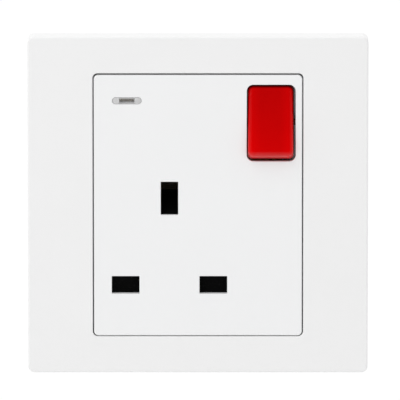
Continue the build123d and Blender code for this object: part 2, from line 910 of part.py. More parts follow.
def terminal_block(x):
    """Brass block with a bore for the wire from above and a tapped hole from the back."""
    plan = Pos(x, block_front + block_depth / 2) * Rectangle(block_width, block_depth)
    plan = chamfer(plan.vertices(), block_edge)
    block = column(plan, block_bottom, block_top)
    block -= Pos(x, wire_y, block_z) * Cylinder(wire_radius, block_height)
    return block - post(x, block_z, terminal_thread_radius + thread_clearance, wire_y, floor_y)


def slotted_head(x, z, radius, front, back):
    head = post(x, z, radius, front, back)
    head = fillet(edges_at(head, back), (back - front) / 4)
    half = screw_slot_width / 2
    return head - panel(x - radius, x + radius, back - screw_slot_depth, back, z - half, z + half)


def terminal_screws():
    tip = wire_y + wire_radius + terminal_tip_gap
    head_back = floor_y + terminal_head_height
    screws = []
    for x in block_places.values():
        shank = post(x, block_z, terminal_thread_radius, tip, floor_y)
        shank = chamfer(edges_at(shank, tip), terminal_tip_edge)
        screws.append(shank + slotted_head(x, block_z, terminal_head_radius, floor_y, head_back))
    return screws


def assembly_screws():
    """Four cross-headed screws from the back, through the housing into the cover's bosses."""
    back = screw_seat + screw_head_height
    cross = Rectangle(screw_cross_length, screw_cross) + Rectangle(screw_cross, screw_cross_length)
    screws = []
    for x, z in screw_places:
        head = post(x, z, screw_head_radius, screw_seat, back)
        head = fillet(edges_at(head, back), screw_head_height / 3)
        shank = post(x, z, screw_radius, -screw_reach, screw_seat)
        shank = chamfer(edges_at(shank, -screw_reach), screw_tip_edge)
        screws.append(head + shank - slab(Pos(x, z) * cross, back - screw_cross, back))
    return screws


def shutter():
    """Blades over the live and neutral slots, hung on a body with a ramp in the earth pin's way."""
    slot_half = live_slot_width / 2 + shutter_overlap
    left = neutral_x - slot_half
    right = live_x + slot_half
    blades = panel(left, right, shutter_front, shutter_back, blade_bottom, blade_top)
    body_left = pin_x - shutter_body_half
    body_right = pin_x + shutter_body_half
    body = panel(body_left, body_right, shutter_front, shutter_back, blade_bottom, shutter_body_top)
    foot = ramp_tip - ramp_rise
    ramp_left = pin_x - ramp_half
    ramp_right = pin_x + ramp_half
    neck = panel(ramp_left, ramp_right, shutter_front, shutter_back, shutter_body_top, foot)
    back = shutter_front + ramp_depth
    ramp = bar(
        outline(
            [
                (shutter_front, foot - ramp_nose),
                (shutter_front, foot),
                (back - ramp_nose, ramp_tip),
                (back, ramp_tip),
                (back, ramp_tip - ramp_arm),
                (shutter_back, foot - ramp_arm),
                (shutter_front, foot - ramp_arm),
            ]
        ),
        ramp_left,
        ramp_right,
    )
    notch = spring_notch(shutter_front, shutter_back, blade_bottom, shutter_spring_top)
    return blades + body + neck + ramp - notch


def spring_notch(front, back, bottom, top):
    half = shutter_spring_radius + spring_notch_gap
    return panel(pin_x - half, pin_x + half, front, back, bottom, top)


def shutter_spring():
    length = shutter_spring_top - spring_seat
    spring = coil(shutter_spring_radius, shutter_spring_wire / 2, length, shutter_spring_turns)
    return Pos(pin_x, cover_inner + spring_front_gap + shutter_spring_radius, spring_seat) * spring


def inner_carrier():
    """Plate behind the shutter, with the pin ways and the black guide that lines the earth slot."""
    side = rim_inside_x - carrier_gap
    end = rim_inside_z - carrier_gap
    plate = panel(-side, switch_bay_x, -carrier_front, carrier_back, -end, end)
    plate += panel(switch_bay_x, side, -carrier_front, carrier_back, -end, switch_bay_z)
    guide_front = cover_front + earth_land
    plate += earth_guide(guide_front)
    holes = pin_slots(carrier_hole_gap)
    for hole in holes[:2]:
        plate -= slab(hole, guide_front, carrier_back)
    earth_half = earth_slot_width / 2 + slot_edge_round / 2
    left = pin_x - earth_half
    right = pin_x + earth_half
    earth_low = earth_z - earth_slot_height / 2
    earth_high = earth_z + earth_slot_height / 2
    plate -= panel(left, right, guide_front, carrier_back, earth_low, earth_high)
    ramp_low = ramp_tip - ramp_rise - ramp_arm - shutter_travel - guide_clearance
    plate -= panel(left, right, cover_inner, carrier_back, ramp_low, earth_high)
    plate -= spring_notch(-carrier_front, carrier_back, -end, shutter_spring_top + spring_notch_gap)
    lamp_left = lamp_x - lamp_length / 2 - guide_clearance
    lamp_right = lamp_x + lamp_length / 2 + lead_room
    lamp_half = lamp_radius + guide_clearance
    plate -= panel(lamp_left, lamp_right, -carrier_front, carrier_back, lamp_z - lamp_half, lamp_z + lamp_half)
    for x, z in screw_places:
        plate -= post(x, z, cover_boss_radius + carrier_hole_gap, -carrier_front, carrier_back)
    return plate


def earth_guide(front):
    """Sleeve round the earth pin, open below where the shutter's ramp comes in."""
    width = earth_slot_width + 2 * guide_wall
    height = earth_slot_height + 2 * guide_wall
    outside = Pos(pin_x, earth_z) * RectangleRounded(width, height, guide_wall / 2)
    sleeve = slab(outside, front, -carrier_front)
    low = earth_z - height / 2
    foot = earth_z - earth_slot_height / 2
    return sleeve - panel(pin_x - width / 2, pin_x + width / 2, cover_inner, -carrier_front, low, foot)


def partitions():
    """Walls between the three pin bays and the switch bay, up to the carrier's back."""
    low = -wall_inside_z
    clear = -rim_inside_z + carrier_gap
    past_rim = rim_reach + carrier_gap
    left_wall = (neutral_x + pin_x - partition) / 2
    middle_wall = live_x - live_pin_width / 2 - 2 * partition - guide_clearance
    right_wall = live_run_left() + 2 * strip
    walls = []
    for x in (left_wall, middle_wall, right_wall):
        walls.append(panel(x, x + partition, past_rim, floor_y, low, switch_bay_z))
        walls.append(panel(x, x + partition, carrier_back, past_rim, clear, switch_bay_z))
    return walls


def block_pockets():
    """Low ribs from the floor that hold each terminal block by its sides and from below."""
    ribs = []
    half = block_width / 2
    seat = floor_y - pocket_depth
    low = block_bottom - partition
    for x in block_places.values():
        ribs.append(panel(x - half, x + half, seat, floor_y, low, block_bottom))
        ribs.append(panel(x - half - pocket_rib, x - half, seat, floor_y, low, block_z))
        ribs.append(panel(x + half, x + half + pocket_rib, seat, floor_y, low, block_z))
    return ribs


def switch_supports():
    """Posts from the floor under the fixed contact's pad and under the fulcrum bracket."""
    depth, height = touch_point()
    pad = panel(
        rocker_x - switch_pad_width / 2,
        rocker_x + switch_pad_width / 2,
        live_run_back,
        floor_y,
        rocker_z + height - partition,
        rocker_z + height + partition,
    )
    middle = (live_block_x + block_width / 2 + rocker_x - switch_pad_width / 2) / 2
    low = rocker_z - bracket_half_height
    high = rocker_z + bracket_half_height
    rest = panel(middle - partition / 2, middle + partition / 2, block_front, floor_y, low, high)
    return [pad, rest]


def rear_housing():
    flange = slab(RectangleRounded(housing_width, housing_height, housing_corner), 0, housing_flange)
    body_width = housing_width - 2 * housing_step
    body_height = housing_height - 2 * housing_step
    start = Plane.XZ.offset(-housing_flange) * RectangleRounded(body_width, body_height, housing_corner)
    body = extrude(start, -(housing_depth - housing_flange), taper=housing_draft)
    body = fillet(edges_at(body, housing_depth), housing_back_round)
    inside = RectangleRounded(2 * wall_inside_x, 2 * wall_inside_z, housing_wall)
    shell = flange + body - slab(inside, 0, floor_y)
    shell += partitions()
    shell += block_pockets()
    shell += switch_supports()
    for x, z in screw_places:
        shell += post(x, z, housing_boss_radius, 0, floor_y)
    for x, z in screw_places:
        shell -= post(x, z, screw_head_radius + screw_hole_gap, screw_seat, housing_depth)
        shell -= post(x, z, screw_radius + screw_hole_gap, 0, screw_seat)
    for x in block_places.values():
        shell -= post(x, block_z, terminal_head_radius + access_gap, floor_y, housing_depth)
        entry = Pos(x, wire_y) * RectangleRounded(entry_width, entry_depth, entry_corner)
        shell -= column(entry, wall_inside_z - housing_wall, housing_height / 2)
    return shell


pieces = {
    "front_frame": front_frame(),
    "mounting_yoke": mounting_yoke(),
    "socket_cover": socket_cover(),
    "indicator_lens": indicator_lens(),
    "neon_lamp": neon_lamp(),
    "neon_resistor": neon_resistor(),
    "neon_leads": neon_leads(),
    "rocker": rocker(),
    "rocker_spring": rocker_spring(),
    "plunger": plunger(),
    "moving_contact": moving_contact(),
    "moving_contact_rivet": moving_contact_rivet(),
    "fixed_contact_rivet": fixed_contact_rivet(),
    "fulcrum_bracket": fulcrum_bracket(),
    "live_socket_contact": live_socket_contact(),
    "neutral_socket_contact": neutral_socket_contact(),
    "earth_socket_contact": earth_socket_contact(),
    "live_terminal_block": terminal_block(live_block_x),
    "neutral_terminal_block": terminal_block(neutral_block_x),
    "earth_terminal_block": terminal_block(earth_block_x),
    "terminal_screws": terminal_screws(),
    "shutter": shutter(),
    "shutter_spring": shutter_spring(),
    "inner_carrier": inner_carrier(),
    "rear_housing": rear_housing(),
    "assembly_screws": assembly_screws(),
}

for name, shape in pieces.items():
    solids = Compound(shape) if isinstance(shape, list) else shape
    export_step(solids, f"parts/{name}.step")
    print(name, round(solids.volume, 2))
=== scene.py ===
# %% [markdown]
# # A flush wall socket with a rocker switch
# A square white front frame snaps over a steel yoke. Inside its window sits a socket cover with three
# pin slots, a red rocker and a small neon indicator. Everything behind the cover, down to the brass
# leaves, is there too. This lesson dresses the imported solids: it keeps those whose shape is right,
# gives each a finish, and models again the few that want smoother forms or finer detail.

# %% Load the frame
import json
import math

import bmesh
import bpy
from mathutils import Matrix, Vector


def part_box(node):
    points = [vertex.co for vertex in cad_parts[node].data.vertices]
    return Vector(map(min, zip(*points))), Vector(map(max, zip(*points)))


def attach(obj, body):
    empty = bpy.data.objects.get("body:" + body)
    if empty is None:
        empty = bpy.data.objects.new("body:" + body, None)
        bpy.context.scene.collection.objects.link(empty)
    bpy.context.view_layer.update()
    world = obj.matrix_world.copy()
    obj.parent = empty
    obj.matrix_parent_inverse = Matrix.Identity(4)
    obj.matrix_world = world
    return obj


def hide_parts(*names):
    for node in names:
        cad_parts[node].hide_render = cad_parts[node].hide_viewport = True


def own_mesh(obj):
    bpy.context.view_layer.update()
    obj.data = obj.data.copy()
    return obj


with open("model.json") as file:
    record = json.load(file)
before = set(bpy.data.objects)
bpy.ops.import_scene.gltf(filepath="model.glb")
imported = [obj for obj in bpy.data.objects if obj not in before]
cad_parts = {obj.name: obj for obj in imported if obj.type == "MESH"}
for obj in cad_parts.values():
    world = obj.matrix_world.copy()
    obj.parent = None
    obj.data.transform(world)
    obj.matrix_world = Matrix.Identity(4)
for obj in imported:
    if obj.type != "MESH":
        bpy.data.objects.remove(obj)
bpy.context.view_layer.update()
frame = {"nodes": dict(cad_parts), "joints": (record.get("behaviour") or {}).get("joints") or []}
nodes = frame["nodes"]


def in_millimetres(corners):
    """The corners of a box, rounded to be printed."""
    return [tuple(round(value * 1000, 2) for value in corner) for corner in corners]


# %% [markdown]
# ## A place to write materials
# A finish is a graph of shader nodes. Written out call by call it is long and hard to read, so a small
# class stands for one value in the graph: adding or multiplying two of them adds the Math node.

# %% Values that can be added and multiplied


class Value:
    """One output of a shader node."""

    def __init__(self, finish, socket):
        self.finish = finish
        self.socket = socket

    def math(self, operation, *inputs):
        """The Math node that does the operation on the inputs."""
        return self.finish.node("ShaderNodeMath", {"operation": operation}, dict(enumerate(inputs)))

    def __add__(self, other):
        return self.math("ADD", self, other)

    def __radd__(self, other):
        return self.math("ADD", other, self)

    def __sub__(self, other):
        return self.math("SUBTRACT", self, other)

    def __rsub__(self, other):
        return self.math("SUBTRACT", other, self)

    def __mul__(self, other):
        return self.math("MULTIPLY", self, other)

    def __rmul__(self, other):
        return self.math("MULTIPLY", other, self)

    def __truediv__(self, other):
        return self.math("DIVIDE", self, other)


# %% [markdown]
# ## The graph itself
# One method makes every other kind of node from its type, its settings and what goes into its sockets.
# A few short methods stand on it, for what nearly every finish here asks for: the place on the piece,
# cloudy noise, a colour between two others, a ramp, relief and the shader.

# %% Graphs of nodes


class Graph:
    """A tree of shader nodes that starts empty."""

    def __init__(self, owner):
        owner.use_nodes = True
        self.owner = owner
        self.tree = owner.node_tree
        self.tree.nodes.clear()

    def node(self, kind, settings=None, inputs=None, output=0):
        """A node of any kind: first its settings, then the values or links of its sockets."""
        made = self.tree.nodes.new(kind)
        for key, value in (settings or {}).items():
            if key == "stops":
                stops = made.color_ramp.elements
                while len(stops) < len(value):
                    stops.new(0.5)
                for stop, (place, colour) in zip(stops, value):
                    stop.position = place
                    stop.color = colour
            else:
                setattr(made, key, value)
        for key, value in (inputs or {}).items():
            if isinstance(value, Value):
                self.tree.links.new(value.socket, made.inputs[key])
            else:
                made.inputs[key].default_value = value
        return Value(self, made.outputs[output]) if made.outputs else None

    def place(self):
        """Position on the piece, in metres."""
        return self.node("ShaderNodeTexCoord", output="Object")

    def axis(self, name):
        """One coordinate of the position."""
        return self.node("ShaderNodeSeparateXYZ", inputs={0: self.place()}, output=name)

    def away(self, name, middle):
        """Distance from the middle along that axis, to either side."""
        offset = self.axis(name) - middle
        return offset.math("ABSOLUTE", offset)

    def noise(self, scale, detail=3.0, roughness=0.5, stretch=(1.0, 1.0, 1.0)):
        """Cloudy value from 0 to 1, with scale in features a metre."""
        spread = self.node("ShaderNodeMapping", inputs={"Vector": self.place(), "Scale": stretch})
        return self.node(
            "ShaderNodeTexNoise",
            inputs={"Vector": spread, "Scale": scale, "Detail": detail, "Roughness": roughness},
        )

    def mix(self, share, first, second):
        """Colour between two colours."""
        return self.node("ShaderNodeMix", {"data_type": "RGBA"}, {0: share, 6: first, 7: second}, output=2)

    def steps(self, value, stops):
        """Colour ramp through the stops, each a place and a colour."""
        return self.node("ShaderNodeValToRGB", {"stops": stops}, {0: value})

    def rise(self, value, start, end):
        """0 up to start, 1 from end on, and a straight rise between them."""
        return self.steps(value, [(start, grey(0.0)), (end, grey(1.0))])

    def bump(self, height, depth):
        """Surface relief of the given depth in metres."""
        return self.node("ShaderNodeBump", inputs={"Height": height, "Distance": depth, "Strength": 1.0})

    def surface(self, **inputs):
        """The shader itself, with spaces in its socket names written as underscores."""
        named = {key.replace("_", " "): value for key, value in inputs.items()}
        shader = self.node("ShaderNodeBsdfPrincipled", inputs=named)
        self.node("ShaderNodeOutputMaterial", inputs={"Surface": shader})
        return self.owner


def new_finish(name):
    """The empty graph of a new material."""
    return Graph(bpy.data.materials.new(name))


def grey(level, warmth=0.0):
    """A grey of that level, redder where warmth is above 0 and bluer below."""
    return (level * (1 + warmth), level, level * (1 - warmth), 1.0)


# %% [markdown]
# ## White moulded plastic
# The frame and the cover are pressed from a hard white plastic with a satin shine. Up close such a
# moulding is never one even tone: the powder it is pressed from leaves faint clouds, the surface has a
# very shallow ripple, and finger marks change the shine. Two noises of different size do the clouds, two
# more the relief and a fifth the shine. The cover is a shade cooler than the frame, as in a real pair of
# parts from two moulds. The cover also carries painted shade: the upper and side walls of the rocker's
# opening are painted dark red from just behind the face, for the deep shade of the gap round the rocker.
# A mask finds them by their place. Its middle is a little above the rocker's and it reaches less far
# down, so the lower wall of the opening stays white.

# %% White plastics
per_centimetre = 100.0
per_millimetre = 1000.0
# Place and reach of the painted shade in the rocker's opening.
gap_lift = Vector((0, 0, 0.0005))
gap_reach = {"X": 0.0065, "Z": 0.0095}
# Dark red painted shade for the walls of the gap round the rocker.
painted_gap_shade = (0.09, 0.001, 0.001, 1.0)


def middle_of(node):
    """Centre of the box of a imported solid."""
    low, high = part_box(node)
    return (low + high) / 2


def rocker_gap_shade(finish):
    """1 on the upper and side walls of the rocker's opening, where shade is painted, and 0 on the face and
    everywhere else.
    """
    middle = middle_of("rocker") + gap_lift
    across = finish.away("X", middle.x)
    upwards = finish.away("Z", middle.z)
    within_sides = across.math("LESS_THAN", across, gap_reach["X"])
    within_height = upwards.math("LESS_THAN", upwards, gap_reach["Z"])
    behind_face = (finish.axis("Y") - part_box("socket_cover")[0].y) * per_millimetre
    return within_sides * within_height * finish.rise(behind_face, 0.04, 0.4)


def moulded(name, light, dark, shine, ripple=400.0, depth=0.00001, painted_shade=None):
    """Pressed plastic between two close tones, with roughness round shine."""
    finish = new_finish(name)
    clouds = finish.noise(60.0, 4.0, 0.6)
    specks = finish.noise(1800.0, 2.0, 0.7)
    tone = finish.mix(clouds * 0.7 + specks * 0.3, dark, light)
    # Where a mask is given, painted shade darkens the colour there.
    if painted_shade:
        tone = finish.mix(painted_shade(finish) * (0.88 + specks * 0.2), tone, painted_gap_shade)
    worn = finish.noise(150.0, 5.0, 0.65)
    relief = finish.noise(ripple, 3.0) * 0.7 + finish.noise(4000.0, 2.0) * 0.3
    return finish.surface(
        Base_Color=tone,
        Roughness=shine + (worn - 0.5) * 0.16,
        Normal=finish.bump(relief, depth),
    )


frame_plastic = moulded("frame_plastic", grey(0.86), grey(0.83), 0.38)
# The cover carries the painted shade in the rocker's opening.
cover_plastic = moulded("cover_plastic", grey(0.87, -0.004), grey(0.84, -0.004), 0.36, painted_shade=rocker_gap_shade)
housing_plastic = moulded("housing_plastic", grey(0.72, 0.01), grey(0.66, 0.012), 0.5, 700.0, 0.00003)
print("white plastics:", frame_plastic.name, cover_plastic.name, housing_plastic.name)

# %% [markdown]
# ## Red rocker plastic
# The rocker is a deep, saturated red. Its dished face is dull from fingers and mirrors almost nothing,
# while the rounded rim keeps the polish of the mould and shows pale, pinkish gloss. So the shader's own
# specular level stays low, and a clear coat is laid on by place: its weight rises towards the two long
# edges and the bottom, measured in centimetres from the middle of the rocker's box. Light and shade are
# painted into the red: the face is painted darker towards the top and along the middle, and brighter
# towards the long edges and the bottom. The skirt and the trunnions, past the sides of the face, are
# painted much darker, a painted shade for the dark gap round them. The noise is kept weaker than on the
# white, because the eye sees unevenness in a strong colour at once.

# %% Rocker plastic
# Shaded and lit reds of one plastic, mixed for painted light and shade on the face.
shaded_red = (0.44, 0.0004, 0.0008, 1.0)
lit_red = (0.68, 0.0005, 0.001, 1.0)
# Much darker red for painted shade on the skirt and the trunnions.
painted_skirt_shade = (0.09, 0.0004, 0.0008, 1.0)

finish = new_finish("rocker_plastic")
middle = middle_of("rocker")
sideways = finish.away("X", middle.x) * per_centimetre
downwards = (middle.z - finish.axis("Z")) * per_centimetre
side_rim = finish.rise(sideways, 0.47, 0.57)
bottom_rim = finish.rise(downwards, 0.69, 0.86)
polish = side_rim * 0.25 + bottom_rim * 0.85
# Mask of the painted shade past the sides of the face.
skirt_shade_mask = finish.rise(sideways, 0.571, 0.58)
# Masks of painted light: brighter towards the long edges and towards the bottom.
beside = finish.rise(sideways, 0.25, 0.50)
below = finish.rise(downwards * 0.5 + 0.5, 0.1, 0.9)
# A little random tone, and mostly painted light and shade.
noise_and_painted_light = finish.noise(120.0, 3.0) * 0.3 + beside * 0.35 + below * 0.45
face_red = finish.mix(noise_and_painted_light, shaded_red, lit_red)
rocker_plastic = finish.surface(
    Base_Color=finish.mix(skirt_shade_mask, face_red, painted_skirt_shade),
    Roughness=0.34 + (finish.noise(260.0, 4.0) - 0.5) * 0.12,
    Normal=finish.bump(finish.noise(900.0), 0.000006),
    Specular_IOR_Level=0.01,
    Coat_Weight=polish * (0.85 + finish.noise(500.0) * 0.3),
    Coat_Roughness=0.25,
    Coat_IOR=1.75,
)
print("rocker plastic ready, measured from", in_millimetres([middle]))

# %% [markdown]
# ## Dark and pale inner plastics
# The plate behind the slots, the shutter and the guide are black, with a matt spark-eroded texture that
# keeps the slots dark. The switch plunger is natural nylon, a little yellow and waxy, so it gets a trace
# of light passing under its skin.

# %% Inner plastics
finish = new_finish("black_plastic")
grain = finish.noise(2600.0, 3.0, 0.7)
black_plastic = finish.surface(
    Base_Color=finish.mix(finish.noise(90.0), grey(0.001), grey(0.003)),
    Roughness=0.6 + (grain - 0.5) * 0.2,
    Normal=finish.bump(grain, 0.00002),
    Specular_IOR_Level=0.03,
)

finish = new_finish("plunger_nylon")
plunger_nylon = finish.surface(
    Base_Color=finish.mix(finish.noise(500.0, 4.0), (0.66, 0.61, 0.50, 1.0), (0.76, 0.72, 0.62, 1.0)),
    Roughness=0.42 + (finish.noise(900.0) - 0.5) * 0.15,
    Normal=finish.bump(finish.noise(1500.0), 0.00001),
    Subsurface_Weight=0.1,
    Subsurface_Scale=0.001,
)
print("inner plastics:", black_plastic.name, plunger_nylon.name)

# %% [markdown]
# ## Metals
# Sheet steel with a zinc coat, screws, spring wire, rolled brass, machined brass, silver buttons and
# tinned wire differ in tint, in how rough they are and in which way their marks run. One recipe covers
# them: a tint that drifts between clean and dull metal, fine marks made from noise, which is stretched
# along one direction where the metal was rolled, and a little relief from the same marks.

# %% Metals
drawn_up = (1.0, 1.0, 0.06)
drawn_across = (0.06, 1.0, 1.0)


def metal(name, clean, dull, shine, rolling=(1.0, 1.0, 1.0), tarnish=0.5, depth=0.000008):
    """Metal with marks drawn out along the directions where rolling is small."""
    finish = new_finish(name)
    marks = finish.noise(1400.0, 5.0, 0.7, rolling)
    patches = finish.noise(160.0, 5.0, 0.6)
    dulled = finish.rise(patches, 0.35, 0.75)
    return finish.surface(
        Base_Color=finish.mix(dulled * tarnish, clean, dull),
        Metallic=1.0,
        Roughness=shine + (marks - 0.5) * 0.25 + patches * 0.08,
        Normal=finish.bump(marks, depth),
    )


plated_steel = metal("plated_steel", (0.50, 0.52, 0.54, 1.0), (0.36, 0.37, 0.39, 1.0), 0.34, drawn_across)
zinc_screw = metal("zinc_screw", (0.52, 0.53, 0.53, 1.0), (0.36, 0.36, 0.35, 1.0), 0.28)
spring_steel = metal("spring_steel", (0.42, 0.41, 0.40, 1.0), (0.26, 0.25, 0.24, 1.0), 0.26)
contact_brass = metal("contact_brass", (0.78, 0.56, 0.24, 1.0), (0.56, 0.37, 0.15, 1.0), 0.3, drawn_up)
terminal_brass = metal(
    "terminal_brass", (0.74, 0.54, 0.25, 1.0), (0.50, 0.35, 0.16, 1.0), 0.38, depth=0.000015
)
contact_silver = metal("contact_silver", (0.74, 0.73, 0.70, 1.0), (0.50, 0.47, 0.43, 1.0), 0.22)
tinned_wire = metal("tinned_wire", (0.56, 0.55, 0.53, 1.0), (0.40, 0.39, 0.37, 1.0), 0.33)
metals = (plated_steel, zinc_screw, spring_steel, contact_brass, terminal_brass, contact_silver, tinned_wire)
print("metals:", [finished.name for finished in metals])

# %% [markdown]
# ## Clear lens and lamp glass
# The indicator is a clear moulded pill. Its middle is a window over the light slot and looks dark. Its
# ends and its long edges, where it rests on the cover, are milky. It is thin enough that its bending of
# light can't be seen, so it is a skin of pale grey whose Alpha is low in the window and higher round it.
# The ends are measured in centimetres from its middle, and the long edges by a ramp that runs from one
# millimetre above the middle to one below. The neon lamp is thin glass, which light passes through.

# %% Clear parts
finish = new_finish("clear_lens")
middle = middle_of("indicator_lens")
sideways = finish.away("X", middle.x) * per_centimetre
downwards = (middle.z - finish.axis("Z")) * per_millimetre
ends = finish.rise(sideways, 0.175, 0.21)
edges = finish.steps(
    downwards * 0.5 + 0.5,
    [(0.12, grey(1.0)), (0.25, grey(0.4)), (0.34, grey(0.0)), (0.52, grey(0.0)), (0.70, grey(0.35))],
)
milky = ends.math("MAXIMUM", ends, edges)
clear_lens = finish.surface(
    Base_Color=finish.mix(finish.noise(300.0), grey(0.80), grey(0.88)),
    Roughness=0.16 + (finish.noise(700.0, 4.0) - 0.5) * 0.1,
    Normal=finish.bump(finish.noise(1200.0), 0.000006),
    Alpha=0.03 + finish.noise(500.0) * 0.07 + milky * 0.56,
)

finish = new_finish("lamp_glass")
lamp_glass = finish.surface(
    Base_Color=finish.mix(finish.noise(400.0), (0.92, 0.94, 0.93, 1.0), (0.98, 0.98, 0.97, 1.0)),
    Roughness=0.04 + finish.noise(600.0) * 0.05,
    Normal=finish.bump(finish.noise(500.0), 0.00001),
    Transmission_Weight=1.0,
    IOR=1.47,
)
print("clear parts:", clear_lens.name, lamp_glass.name)

# %% [markdown]
# ## Resistor coat
# The resistor has a tan coat with rings of paint round it. They follow its length, so they are steps of
# a ramp along X, from its left end at 0 to its right end at 1.

# %% Resistor coat
tan = (0.60, 0.42, 0.24, 1.0)
brown = (0.10, 0.035, 0.02, 1.0)
yellow = (0.5, 0.33, 0.01, 1.0)
orange = (0.6, 0.12, 0.01, 1.0)
gold = (0.55, 0.38, 0.1, 1.0)
rings = [(0.0, tan), (0.16, brown), (0.23, tan), (0.36, yellow), (0.43, tan)]
rings += [(0.53, orange), (0.60, tan), (0.80, gold), (0.87, tan)]

finish = new_finish("resistor_coat")
low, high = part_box("neon_resistor")
along = (finish.axis("X") - low.x) / (high.x - low.x)
painted = finish.steps(along, rings)
painted.socket.node.color_ramp.interpolation = "CONSTANT"
resistor_coat = finish.surface(
    Base_Color=finish.mix(finish.noise(900.0) * 0.25, painted, grey(0.1)),
    Roughness=0.35 + (finish.noise(800.0) - 0.5) * 0.2,
    Normal=finish.bump(finish.noise(700.0), 0.00002),
)
print("resistor coat:", resistor_coat.name, "with", len(rings) // 2, "rings")

# %% [markdown]
# ## Which solid wears which finish
# The imported record says which material slot each solid belongs to. An imported solid has one slot,
# and putting the new material in it changes nothing about its shape.

# %% Dress the solids
finishes = {
    "front_frame": frame_plastic,
    "mounting_yoke": plated_steel,
    "socket_cover": cover_plastic,
    "indicator_lens": clear_lens,
    "neon_lamp": lamp_glass,
    "neon_resistor": resistor_coat,
    "neon_leads": tinned_wire,
    "rocker": rocker_plastic,
    "rocker_spring": spring_steel,
    "plunger": plunger_nylon,
    "moving_contact": contact_brass,
    "moving_contact_rivet": contact_silver,
    "fixed_contact_rivet": contact_silver,
    "fulcrum_bracket": contact_brass,
    "live_socket_contact": contact_brass,
    "neutral_socket_contact": contact_brass,
    "earth_socket_contact": contact_brass,
    "live_terminal_block": terminal_brass,
    "neutral_terminal_block": terminal_brass,
    "earth_terminal_block": terminal_brass,
    "terminal_screws": zinc_screw,
    "shutter": black_plastic,
    "shutter_spring": spring_steel,
    "inner_carrier": black_plastic,
    "rear_housing": housing_plastic,
    "assembly_screws": zinc_screw,
}
for name, material in finishes.items():
    for slot in nodes[name].material_slots:
        slot.material = material
print("dressed:", len(finishes), "of", len(nodes))

# %% [markdown]
# ## Turning a mesh into a piece
# Every new piece is shaped in a bmesh and then handed over: it becomes an object at the origin with its
# place in its mesh, gets its finish, takes its smooth and sharp edges from an angle, and rides on the
# body that carries it. Where it stands for a solid, that solid is hidden.

# %% Hand a piece over


def piece(name, made, material, body, replaced=None, sharp=35.0):
    """Makes an object of the bmesh, wearing the material and riding on the body."""
    data = bpy.data.meshes.new(name)
    made.to_mesh(data)
    made.free()
    data.materials.append(material)
    data.shade_smooth()
    data.set_sharp_from_angle(angle=math.radians(sharp))
    thing = bpy.data.objects.new(name, data)
    bpy.context.scene.collection.objects.link(thing)
    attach(thing, body)
    if replaced:
        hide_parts(replaced)
    print(name, "faces:", len(data.polygons), "on", body)
    return thing


# %% [markdown]
# ## Spring coils
# Two compression springs are wound from round wire: one pushes the plunger out of the rocker, the other
# pushes the shutter up. Each has a closed turn at both ends, so that it stands square on its seat. A ring
# of the wire's section is spun round the axis with a lift at each step. The lift is just over one wire
# thickness a turn for the closed turns, and what is left of the length is shared out between the open
# ones.

# %% Wind a spring
steps_a_turn = 24
wire_sides = 10
closed_pitch = 1.02


def wound(radius, wire, length, turns):
    """A spring along Z from z = 0 to z = length. radius is its outside and wire the wire's radius."""
    made = bmesh.new()
    ring = bmesh.ops.create_circle(made, cap_ends=False, segments=wire_sides, radius=wire)["verts"]
    bmesh.ops.rotate(made, verts=ring, cent=(0, 0, 0), matrix=Matrix.Rotation(math.radians(90), 3, "X"))
    bmesh.ops.translate(made, verts=ring, vec=(radius - wire, 0, wire))
    closed_lift = closed_pitch * 2 * wire
    open_lift = (length - 2 * wire - 2 * closed_lift) / (turns - 2)
    section = made.verts[:] + made.edges[:]
    for count, lift in ((1, closed_lift), (turns - 2, open_lift), (1, closed_lift)):
        spun = bmesh.ops.spin(
            made,
            geom=section,
            axis=(0, 0, 1),
            dvec=(0, 0, lift / steps_a_turn),
            angle=count * math.tau,
            steps=count * steps_a_turn,
        )
        section = spun["geom_last"]
    bmesh.ops.holes_fill(made, edges=[edge for edge in made.edges if edge.is_boundary], sides=0)
    bmesh.ops.recalc_face_normals(made, faces=made.faces)
    return made


# %% [markdown]
# ## The shutter's spring
# It stands upright under the shutter, with its foot on the housing. As the shutter goes down it is
# squashed towards its foot, by as much as the shutter travels.

# %% Spring of the shutter
low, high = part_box("shutter_spring")
seat = middle_of("shutter_spring")
open_length = high.z - low.z
made = wound(radius=0.0015, wire=0.000175, length=open_length, turns=7)
bmesh.ops.translate(made, verts=made.verts, vec=(seat.x, seat.y, low.z))
shutter_coil = piece("shutter_coil", made, spring_steel, "housing", "shutter_spring", sharp=60.0)
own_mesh(shutter_coil)

# %% [markdown]
# ## The rocker's spring
# It lies in the rocker's hollow stem, between the rocker's face and the plunger. It is wound upright,
# turned to point back into the housing and tilted as the rocker is at rest, about the rocker's pivot.

# %% Spring of the rocker
coil_start = -0.00215
pivot = Vector(next(joint for joint in frame["joints"] if joint["name"] == "rocker_tilt")["pos_m"])
rest_tilt = Matrix.Rotation(math.radians(-8), 4, "X")
along_stem = Matrix.Translation(pivot) @ rest_tilt @ Matrix.Rotation(math.radians(-90), 4, "X")
made = wound(radius=0.00115, wire=0.00015, length=0.00555, turns=6)
bmesh.ops.translate(made, verts=made.verts, vec=(0, 0, coil_start))
bmesh.ops.transform(made, matrix=along_stem, verts=made.verts)
piece("rocker_coil", made, spring_steel, "rocker", "rocker_spring", sharp=60.0)

# %% [markdown]
# ## Screws with real threads
# A thread is too fine for the solids, so their shanks are plain. The heads, with their slots and crosses,
# are right already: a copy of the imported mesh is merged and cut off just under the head. The new shank
# is a core turned from a half profile, and the thread is a thin triangle spun round it with a lift at
# each step, its crest sunk at both ends so that it runs out. The triangle's foot lies just inside the
# core, so that the two have no skin in common.

# %% Cut threads
same_place = 1e-7
on_the_cut = 1e-8
foot_depth = 0.98
foot_reach = 0.3


